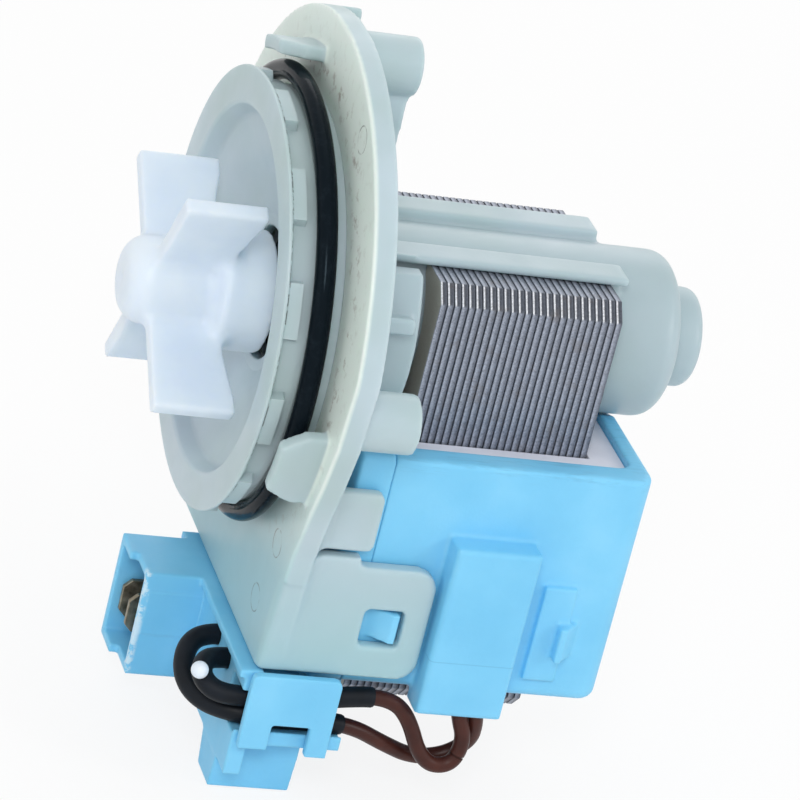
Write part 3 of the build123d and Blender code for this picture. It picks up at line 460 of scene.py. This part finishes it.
def tidyMesh(mesh, gap=0.002 * millimetre):
    # doubles merged, slivers taken out, then all faces turned outwards
    work = bmesh.new()
    work.from_mesh(mesh)
    bmesh.ops.remove_doubles(work, verts=work.verts, dist=gap)
    bmesh.ops.dissolve_degenerate(work, edges=work.edges, dist=gap)
    bmesh.ops.recalc_face_normals(work, faces=work.faces)
    work.to_mesh(mesh)
    work.free()
    return mesh


def roundedLoop(corners, steps=6):
    # corners: (a, b, radius); each is cut back by radius / tan(half the angle) and filled with an arc
    places = np.array([(a, b) for a, b, radius in corners], float)
    out = []
    count = len(corners)
    for n in range(count):
        here, before, after = places[n], places[n - 1], places[(n + 1) % count]
        inward = (before - here) / np.linalg.norm(before - here)
        onward = (after - here) / np.linalg.norm(after - here)
        radius = corners[n][2]
        half = np.arccos(np.clip(inward @ onward, -1, 1)) / 2
        if radius <= 0 or half > pi / 2 - 0.01:  # sharp, or a straight run
            out.append(here[None])
            continue
        cut = radius / np.tan(half)
        centre = here + (inward + onward) / np.linalg.norm(inward + onward) * radius / np.sin(half)
        start = here + inward * cut - centre
        stop = here + onward * cut - centre
        turn = np.arctan2(start[0] * stop[1] - start[1] * stop[0], start @ stop)
        sweep = np.linspace(0, turn, steps + 1)
        square = [-start[1], start[0]]
        out.append(centre + np.outer(np.cos(sweep), start) + np.outer(np.sin(sweep), square))
    return np.concatenate(out)


def revolve(name, loop, segments, shift=None):
    # a profile of (x, radius) turned about the shaft: y is -radius cos(angle) and z radius sin(angle);
    # shift adds to the radius by angle and profile point
    angle = np.linspace(0, 2 * pi, segments, endpoint=False)
    radius = np.repeat(loop[:, 1][:, None], segments, axis=1)
    along = np.repeat(loop[:, 0][:, None], segments, axis=1)
    if shift is not None:
        radius = radius + shift(along, radius, np.degrees(angle)[None, :])
    points = np.stack([along, -radius * np.cos(angle), radius * np.sin(angle)], axis=-1)
    return gridMesh(name, points, True, True)


def cleanCopy(node, flat=None):
    # the CAD triangles joined at their shared corners, and flat areas made one face where asked
    mesh = frame["nodes"][node].data.copy()
    for layer in [a.name for a in mesh.attributes if a.name == "custom_normal"]:
        mesh.attributes.remove(mesh.attributes[layer])
    work = bmesh.new()
    work.from_mesh(mesh)
    bmesh.ops.remove_doubles(work, verts=work.verts, dist=0.003 * millimetre)
    if flat:
        bmesh.ops.dissolve_limit(work, angle_limit=radians(flat), verts=work.verts, edges=work.edges)
    work.to_mesh(mesh)
    work.free()
    return mesh


# castellated ring with the recessed dish: places along the shaft and radii from it; the rounds of its
# edges; then the blocks on its body, with their spacing, half width and side slope in degrees
dish = {"front": -9.1, "mouth": 27.0, "lip": 32.5, "lipBack": -8.5, "body": 30.8, "bodyFrom": -8.3,
        "bodyTo": -4.8, "step": -4.6, "groove": 30.4, "spigot": 28.6, "hub": 11.5, "back": -0.7,
        "hole": 9.7, "floor": -2.6, "bowl": 25.6, "bowlFront": -6.6,
        "rimRound": 0.9, "lipRound": 0.28, "backRound": 0.2, "innerRound": 0.3, "hubRound": 0.5,
        "holeRound": 0.4, "floorRound": 1.0, "bowlRound": 1.4,
        "padFirst": 20.2, "padStep": 30.0, "padHalf": 7.5, "padSlope": 0.45, "padTo": -6.2, "padEnd": 0.25,
        "padOut": 1.5, "touch": 0.05, "segments": 900}


def dishPads(along, radius, angle):
    # a block at each step round, raised where the wall is the body's outside: its height times the share
    # (half width - distance from its middle) / slope, held between none and all
    d = dish
    half = d["padStep"] / 2
    near = np.abs((angle - d["padFirst"] + half) % d["padStep"] - half)
    side = np.clip((d["padHalf"] - near) / d["padSlope"], 0, 1)
    length = np.clip((d["padTo"] - along) / d["padEnd"], 0, 1) * (along > d["lipBack"] - d["touch"])
    return d["padOut"] * side * length * (np.abs(radius - d["body"]) < d["touch"])


def dishPiece():
    # the profile runs round the rim, down the back, up the bore and out across the bowl
    d = dish
    rim = [(d["front"], d["mouth"], d["rimRound"]), (d["front"], d["lip"], d["lipRound"]),
           (d["lipBack"], d["lip"], d["lipRound"]), (d["lipBack"], d["body"], 0.0)]
    body = [(x, d["body"], 0.0) for x in np.linspace(d["bodyFrom"], d["bodyTo"], 26)]
    back = [(d["step"], d["body"], 0.0), (d["step"], d["groove"], 0.0), (0, d["groove"], d["backRound"]),
            (0, d["spigot"], d["backRound"]), (d["step"], d["spigot"], d["innerRound"]),
            (d["back"], d["hub"], d["hubRound"]), (d["back"], d["hole"], d["innerRound"])]
    bowl = [(d["floor"], d["hole"], d["holeRound"]), (d["floor"], d["hub"], d["floorRound"]),
            (d["bowlFront"], d["bowl"], d["bowlRound"])]
    loop = roundedLoop(rim + body + back + bowl)
    mesh = revolve("frontDish", loop, d["segments"], dishPads)
    return finishPiece("frontDish", mesh, "housing", "pp_moulding", ["front_dish"], 35)


dishPiece()

# the ring's radius to the middle of its cord, the cord's radius, and how far it lies askew, in degrees
sealRing = {"ring": 32.2, "cord": 1.5, "centre": -3.05, "raise": 0.3, "skew": 0.9, "segments": 300,
            "round": 32}


def sealRingPiece():
    # a circle carried round a circle, tipped about the line between the far side and the top
    s = sealRing
    around, about = np.meshgrid(np.linspace(0, 2 * pi, s["segments"], endpoint=False),
                                np.linspace(0, 2 * pi, s["round"], endpoint=False), indexing="ij")
    radius = s["ring"] + s["cord"] * np.cos(about)
    points = np.stack([s["cord"] * np.sin(about), -radius * np.cos(around), radius * np.sin(around)],
                      axis=-1)
    tip = np.array(Matrix.Rotation(radians(-s["skew"]), 3, Vector((0, 1, 1))))
    points = points @ tip.T + np.array([s["centre"], 0, s["raise"]])
    mesh = gridMesh("sealRing", points, True, True)
    return finishPiece("sealRing", mesh, "housing", "rubber", ["o_ring"], 60)


sealRingPiece()
print("dish and seal ring")


# the mark where the impeller's plastic was let in; only points in front of "nose" are moved
gateMark = {"depth": 0.35, "width": 0.9, "nose": -20}


def noseDimple(points, normals):
    # the gate mark on the impeller's nose: a hollow on the axis, depth times e to the -(radius / width)^2
    away = np.hypot(points[:, 1], points[:, 2])
    return -gateMark["depth"] * np.exp(-(away / gateMark["width"]) ** 2) * (points[:, 0] < gateMark["nose"])


# the socket's near side is at "face"; points closer to it than "touch" are raised between the other four
panel = {"front": -9.9, "back": -1.5, "low": -56.65, "high": -49.5, "face": -2.3, "touch": 0.25,
         "raised": 0.2}


def socketPanel(points, normals):
    # the raised panel on the socket's near side: all of the face that looks outwards between two heights
    x, y, z = points.T
    onFace = (normals[:, 1] < -0.7) & (np.abs(y - panel["face"]) < panel["touch"])
    inside = (x > panel["front"]) & (x < panel["back"]) & (z > panel["low"]) & (z < panel["high"])
    return panel["raised"] * (onFace & inside)


# the disc's sides run nearly straight down to the apron's corners: half widths by height; the disc's
# radius and thickness; the apron's side, outside and inside; the edge that takes up the squeeze, the
# fillet behind the disc, and the height where it begins, lower on the far side, clear of the boss
flangeShape = {"heights": (-46.5, -38.9, -32.0, -25.4, -17.5, -12.3, -4.9, 6.0),
               "widths": (29.65, 30.7, 31.8, 33.1, 35.8, 38.0, 40.5, 42.1),
               "disc": 42.5, "thick": 3.5, "side": 29.65, "inside": 27.4, "squeeze": 1.2, "fillet": 3.0,
               "sideTop": -16.0, "farSideTop": -18.6}


def flangeOutline(points):
    # half widths past the disc's wanted outline are squeezed into its edge, and those short of it are
    # stretched out to it from the apron's inside; behind the disc the stretch fades over the fillet, by
    # the square of (1 - distance / fillet)
    f = flangeShape
    x, y, z = points.T
    out = np.abs(y)
    wide = np.interp(z, f["heights"], f["widths"])
    inDisc = (x > -0.6) & (x < f["thick"] + 0.2) & (z < f["heights"][-1])
    sideTop = np.where(y < 0, f["sideTop"], f["farSideTop"])
    behind = (x >= f["thick"] + 0.2) & (z < sideTop) & (out < f["side"] + 0.4)
    circle = np.sqrt(np.clip(f["disc"] ** 2 - z ** 2, 0, None))
    now = np.where(inDisc, np.maximum(circle, f["side"]), f["side"])
    fade = np.where(inDisc, 1, np.clip(1 - (x - f["thick"]) / f["fillet"], 0, 1) ** 2)
    wanted = np.where(inDisc, wide, f["side"] + (wide - f["side"]) * fade)
    edge = wanted - f["squeeze"]
    squeezed = np.where(out > edge, edge + (out - edge) * f["squeeze"] / np.maximum(now - edge, 0.01), out)
    root = f["inside"]
    stretched = np.where(out > root, root + (out - root) * (wanted - root) / (now - root), out)
    done = np.where((inDisc | behind) & (wanted > now), stretched, out)
    done = np.where(inDisc & (wanted < now), squeezed, done)
    return np.stack([x, np.sign(y) * done, z], axis=-1)


# the collar is open over the can's rails: from and to along the shaft, its foot, and the rails' outside
# and top, which stay
collarGap = {"from": 3.6, "to": 15.8, "low": 11.9, "railOut": 11.35, "railTop": 13.3, "past": 21}


def collarOpening():
    # the opening as a block, a step up over the rails and the can; it reaches past the collar all round
    g = collarGap
    section = [(-g["past"], g["low"]), (-g["railOut"], g["low"]), (-g["railOut"], g["railTop"]),
               (g["railOut"], g["railTop"]), (g["railOut"], g["low"]), (g["past"], g["low"]),
               (g["past"], g["past"]), (-g["past"], g["past"])]
    points = np.array([[(x, y, z) for y, z in section] for x in (g["from"], g["to"])], float)
    mesh = gridMesh("collarOpening", points, False, True, True, True)
    block = bpy.data.objects.new("collarOpening", mesh)
    scene.collection.objects.link(block)
    return block


# mouldings: each solid is filled with small cells and its skin relaxed, which rounds every edge and
# fills every inner corner as a mould does; cell is their size, hollow the radius of the fillet between
# two walls, and relax the number of passes
mouldings = {
    "pump_flange": {"name": "flangeMoulding", "body": "housing", "cell": 0.34, "hollow": 0.0, "relax": 5,
                    "reshape": flangeOutline, "opening": collarOpening},
    "impeller": {"name": "impellerMoulding", "body": "impeller", "cell": 0.28, "hollow": 1.6, "relax": 12,
                 "sculpt": noseDimple},
    "coil_cover": {"name": "coilCover", "body": "housing", "cell": 0.30, "hollow": 0.0, "relax": 3},
    "cover_front": {"name": "coverFront", "body": "housing", "cell": 0.35, "hollow": 0.0, "relax": 4},
    "terminal_housing": {"name": "terminalCarrier", "body": "housing", "cell": 0.26, "hollow": 0.0,
                         "relax": 3, "sculpt": socketPanel},
    "wire_clip": {"name": "wireClip", "body": "housing", "cell": 0.22, "hollow": 0.0, "relax": 5},
}
mostTriangles = 180000  # a moulding with more is thinned to this many


def applied(mesh, name, *modifiers):
    # the mesh with the modifiers worked in; each is (kind, its settings)
    holder = bpy.data.objects.new(name, mesh)
    scene.collection.objects.link(holder)
    for kind, settings in modifiers:
        modifier = holder.modifiers.new(kind, kind)
        for key, value in settings.items():
            setattr(modifier, key, value)
    bpy.context.view_layer.update()
    graph = bpy.context.evaluated_depsgraph_get()
    done = bpy.data.meshes.new_from_object(holder.evaluated_get(graph))
    bpy.data.objects.remove(holder)
    return done


def mouldedCopy(node, name, body, cell, hollow, relax, sculpt=None, reshape=None, opening=None):
    # the solid less its opening, with its points moved by reshape and then along their normals by sculpt;
    # the fillets come from growing the skin by the radius and shrinking it again
    cells = ("REMESH", {"mode": "VOXEL", "voxel_size": cell * millimetre})
    start = cleanCopy(node)
    if opening:
        block = opening()
        cut = {"operation": "DIFFERENCE", "solver": "EXACT", "object": block}
        start = applied(start, name, ("BOOLEAN", cut))
        bpy.data.objects.remove(block)
    if reshape:
        start = applied(start, name, cells)
        points = np.empty(len(start.vertices) * 3)
        start.vertices.foreach_get("co", points)
        points = reshape(points.reshape(-1, 3) / millimetre) * millimetre
        start.vertices.foreach_set("co", points.ravel())
    steps = [cells]
    if hollow:
        steps += [("DISPLACE", {"strength": hollow * millimetre, "mid_level": 0.0}), cells,
                  ("DISPLACE", {"strength": -hollow * millimetre, "mid_level": 0.0}), cells]
    steps.append(("SMOOTH", {"factor": 0.5, "iterations": relax}))
    mesh = applied(start, name, *steps)
    if sculpt:
        points = np.empty(len(mesh.vertices) * 3)
        normals = np.empty(len(mesh.vertices) * 3)
        mesh.vertices.foreach_get("co", points)
        mesh.vertices.foreach_get("normal", normals)
        points, normals = points.reshape(-1, 3), normals.reshape(-1, 3)
        points += normals * (sculpt(points / millimetre, normals) * millimetre)[:, None]
        mesh.vertices.foreach_set("co", points.ravel())
    mesh.calc_loop_triangles()
    count = len(mesh.loop_triangles)
    if count > mostTriangles:
        mesh = applied(mesh, name, ("DECIMATE", {"ratio": mostTriangles / count}))
    mesh.name = name
    return finishPiece(name, mesh, body, slots[node], [node], 180)


for node, plan in mouldings.items():
    piece = mouldedCopy(node, **plan)
    piece.data.calc_loop_triangles()
    print("moulding", piece.name, len(piece.data.loop_triangles), "triangles")

# stamped and cut parts keep crisp flats with a small round on each edge that turns by more than the
# angle, in degrees: the name and the round of each
cutParts = {
    "insulation_card": ("insulationCard", 0.15), "near_leg_sheets": ("nearLegSheets", 0.20),
    "far_leg_sheets": ("farLegSheets", 0.20), "yoke_sheets": ("yokeSheets", 0.20),
    "spade_terminals": ("spadeBlades", 0.12)}
cutEdge = {"flat": 0.6, "angle": 35, "segments": 3}


def cutPiece(node, name, width):
    mesh = cleanCopy(node, cutEdge["flat"])
    piece = finishPiece(name, mesh, "housing", slots[node], [node], cutEdge["angle"])
    bevel = piece.modifiers.new("edgeRound", "BEVEL")
    bevel.width = width * millimetre
    bevel.segments = cutEdge["segments"]
    bevel.limit_method = "ANGLE"
    bevel.angle_limit = radians(cutEdge["angle"])
    bevel.use_clamp_overlap = False
    bevel.harden_normals = True


for node, (name, width) in cutParts.items():
    cutPiece(node, name, width)
print("cut parts", len(cutParts))

# the leads follow a smooth curve through the clip; "part" is the share that the sleeve covers, "wire"
# and "sleeve" are radii, "tuck" is how far the sleeve's cut face reaches into the wire, and "every" is
# the step along the curve
leads = {
    "lower": {"node": "lower_lead", "sleeve": "lower_sleeve", "part": 0.540, "points": [
        (1.0, -12.3, -50.1), (-3.0, -12.5, -49.9), (-6.2, -14.3, -51.3), (-7.0, -18.3, -54.2),
        (-5.1, -22.6, -55.6), (-1.0, -26.6, -55.0), (5.6, -27.4, -55.1), (11.6, -27.3, -55.0),
        (17.6, -26.9, -55.7), (23.0, -26.4, -58.4), (28.2, -25.4, -60.8), (33.2, -25.0, -60.4),
        (36.4, -26.0, -57.0), (35.9, -27.6, -53.2), (34.9, -28.2, -50.2), (34.8, -28.2, -46.6)]},
    "upper": {"node": "upper_lead", "sleeve": "upper_sleeve", "part": 0.534, "points": [
        (1.0, -19.0, -50.3), (-2.6, -19.3, -50.1), (-5.3, -21.0, -49.9), (-6.3, -24.9, -50.7),
        (-3.8, -27.3, -51.9), (3.4, -27.8, -51.5), (8.6, -27.9, -51.5), (14.0, -27.9, -50.4),
        (20.6, -28.2, -49.6), (24.6, -28.6, -51.6), (28.6, -28.9, -59.8), (33.3, -28.9, -60.0),
        (34.4, -28.7, -55.4), (32.6, -28.5, -51.6), (31.3, -28.0, -46.6)]},
    "wire": 1.2, "sleeve": 1.55, "endRound": 0.12, "tuck": 0.05, "round": 24, "every": 0.35}


def routeLine(points):
    # the smooth line through a route's points, read from a spline, evenly spaced along its length
    curve = bpy.data.curves.new("route", "CURVE")
    curve.dimensions = "3D"
    spline = curve.splines.new("NURBS")
    spline.points.add(len(points) - 1)
    weight = 1 / millimetre  # one after the scaling
    spline.points.foreach_set("co", np.array([(*p, weight) for p in points]).ravel() * millimetre)
    spline.order_u = 3
    spline.use_endpoint_u = True
    spline.resolution_u = 24
    holder = bpy.data.objects.new("route", curve)
    scene.collection.objects.link(holder)
    bpy.context.view_layer.update()
    line = bpy.data.meshes.new_from_object(holder)
    raw = np.empty(len(line.vertices) * 3)
    line.vertices.foreach_get("co", raw)
    bpy.data.objects.remove(holder)
    bpy.data.curves.remove(curve)
    bpy.data.meshes.remove(line)
    raw = raw.reshape(-1, 3) / millimetre
    length = np.concatenate([[0], np.cumsum(np.linalg.norm(np.diff(raw, axis=0), axis=1))])
    even = np.linspace(0, length[-1], int(length[-1] / leads["every"]))
    return np.stack([np.interp(even, length, raw[:, k]) for k in range(3)], axis=-1), even


def tubeAlong(name, line, radii, count):
    # a ring of the given radius at each point, square to the line: side cos(angle) + up sin(angle)
    along = np.gradient(line, axis=0)
    along /= np.linalg.norm(along, axis=1)[:, None]
    side = np.cross(along, [0.3, 0.1, 1.0])  # a direction that no lead runs along
    side /= np.linalg.norm(side, axis=1)[:, None]
    up = np.cross(along, side)
    angle = np.linspace(0, 2 * pi, count, endpoint=False)
    across, over = np.cos(angle)[None, :, None], np.sin(angle)[None, :, None]
    ring = side[:, None, :] * across + up[:, None, :] * over
    points = line[:, None, :] + ring * radii[:, None, None]
    return gridMesh(name, points, False, True, True, True)


def leadPieces(key):
    wanted = leads[key]
    line, length = routeLine(wanted["points"])
    wire = tubeAlong(key + "Lead", line, np.full(len(line), leads["wire"]), leads["round"])
    finishPiece(key + "Lead", wire, "housing", "lead_insulation", [wanted["node"]], 60)
    # the sleeve ends in a cut face with a slight round
    part = line[length <= wanted["part"] * length[-1]]
    radii = np.full(len(part), leads["sleeve"])
    radii[-1] = leads["sleeve"] - leads["endRound"]
    part = np.concatenate([part, part[-1:]])
    radii = np.concatenate([radii, [leads["wire"] - leads["tuck"]]])
    part[-1] = part[-2] - (part[-2] - part[-3]) * 0.02
    sleeve = tubeAlong(key + "Sleeve", part, radii, leads["round"])
    finishPiece(key + "Sleeve", sleeve, "housing", "sleeve_black", [wanted["sleeve"]], 60)


leadPieces("lower")
leadPieces("upper")
print("leads and sleeves")

# camera at the photograph's angle: place in metres, then its right, up and back directions
view = {"place": (-0.2031, -0.6095, 0.2746), "right": (0.9438, -0.2413, 0.2259),
        "up": (-0.0953, 0.4558, 0.885), "back": (-0.3165, -0.8567, 0.4072), "lens": 216.3, "sensor": 36}
camera = bpy.data.objects.new("photoCamera", bpy.data.cameras.new("photoCamera"))
scene.collection.objects.link(camera)
scene.camera = camera
columns = [view[key] for key in ("right", "up", "back", "place")]
camera.matrix_world = Matrix([[column[k] for column in columns] for k in range(3)] + [[0, 0, 0, 1]])
camera.data.lens = view["lens"]
camera.data.sensor_width = view["sensor"]
camera.data.clip_end = 10

# the floor just under the part, and soft lamps aimed at its middle: name, place and width of the disc in
# metres, and power in watts
studio = {"floor": cadBox[0][2] - 0.2 * millimetre, "floorHalf": 4, "worldStrength": 0.66,
          "middle": (0.02, 0.0, -0.01),
          "lamps": [("keyLamp", (-0.38, -0.95, 0.72), 0.36, 4.4),
                    ("fillLamp", (0.8, -0.6, 0.45), 0.36, 2.0),
                    ("leftLamp", (-1.0, -0.35, 0.25), 0.5, 0.3),
                    ("topLamp", (0.0, 0.3, 1.1), 0.9, 0.9),
                    ("backLamp", (0.3, 0.9, 0.5), 0.8, 1.6)]}
for name, place, size, power in studio["lamps"]:
    lamp = bpy.data.objects.new(name, bpy.data.lights.new(name, "AREA"))
    lamp.data.shape = "DISK"
    lamp.data.size = size
    lamp.data.energy = power
    lamp.location = place
    lamp.rotation_euler = (Vector(studio["middle"]) - Vector(place)).to_track_quat("-Z", "Y").to_euler()
    scene.collection.objects.link(lamp)


def seenDirectly(tree):
    # one for camera rays, reflections and light passed through, so metal shows the backdrop too
    larger = {"operation": "MAXIMUM"}
    addNode(tree, "path", "LightPath", {}, {})
    addNode(tree, "first", "Math", larger, {0: "path.Is Camera Ray", 1: "path.Is Glossy Ray"})
    addNode(tree, "seen", "Math", larger, {0: "first.Value", 1: "path.Is Transmission Ray"})


world = bpy.data.worlds.new("studioWorld")
scene.world = world
world.use_nodes = True
worldTree = world.node_tree
worldTree.nodes.clear()
seenDirectly(worldTree)
addNode(worldTree, "around", "Background", {}, {"Color": "#FFFFFF", "Strength": studio["worldStrength"]})
addNode(worldTree, "backdrop", "Background", {}, {"Color": "#FFFFFF", "Strength": 1.0})
addNode(worldTree, "both", "MixShader", {}, {0: "seen.Value", 1: "around.Background",
                                             2: "backdrop.Background"})
addNode(worldTree, "output", "OutputWorld", {}, {"Surface": "both.Shader"})

floorMaterial = bpy.data.materials.new("whiteStudioFloor")
floorMaterial.use_nodes = True
floorTree = floorMaterial.node_tree
floorTree.nodes.clear()
seenDirectly(floorTree)
addNode(floorTree, "paper", "BsdfDiffuse", {}, {"Color": "#F6F6F6"})
addNode(floorTree, "glow", "Emission", {}, {"Color": "#FFFFFF", "Strength": 1.0})
addNode(floorTree, "share", "Math", {"operation": "MULTIPLY"}, {0: "seen.Value", 1: 0.85})
addNode(floorTree, "both", "MixShader", {}, {0: "share.Value", 1: "paper.BSDF", 2: "glow.Emission"})
addNode(floorTree, "output", "OutputMaterial", {}, {"Surface": "both.Shader"})
half, height = studio["floorHalf"], studio["floor"]
floorCorners = [(-half, -half, height), (half, -half, height), (half, half, height), (-half, half, height)]
floorMesh = bpy.data.meshes.new("studioFloor")
floorMesh.from_pydata(floorCorners, [], [(0, 1, 2, 3)])
floorMesh.materials.append(floorMaterial)
floor = bpy.data.objects.new("studioFloor", floorMesh)
scene.collection.objects.link(floor)
scene.view_settings.view_transform = "Standard"
print("camera, light and floor")
